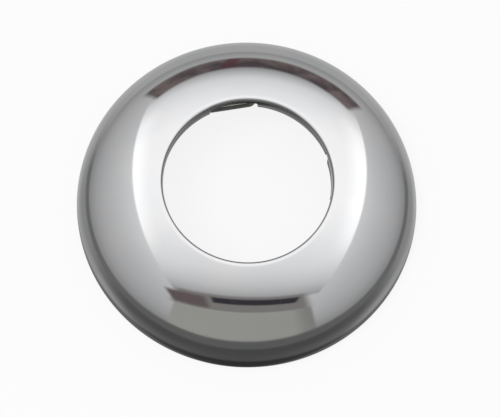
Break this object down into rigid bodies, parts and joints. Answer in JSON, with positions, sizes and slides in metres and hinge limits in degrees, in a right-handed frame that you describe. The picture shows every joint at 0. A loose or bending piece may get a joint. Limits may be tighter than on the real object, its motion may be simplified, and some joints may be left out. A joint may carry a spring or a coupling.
{
  "type": "tap rosette",
  "caption": "Domed chrome-plated rosette that hides the wall opening round a pipe, with a rolled lip round the hole and a flat spring clip that grips the pipe.",
  "frame": {"origin": "centre of the base plane, where the foot lies against the wall", "axes": "+Z along the axis of the hole, away from the wall; +X to the right and +Y away from the viewer in the picture"},
  "size_m": [0.07, 0.07, 0.0145],
  "materials": {
    "chrome_plate": "polished",
    "spring_steel": "satin"
  },
  "bodies": {
    "root": {"rosette_shell": "chrome_plate", "grip_clip": "spring_steel"}
  },
  "joints": []
}
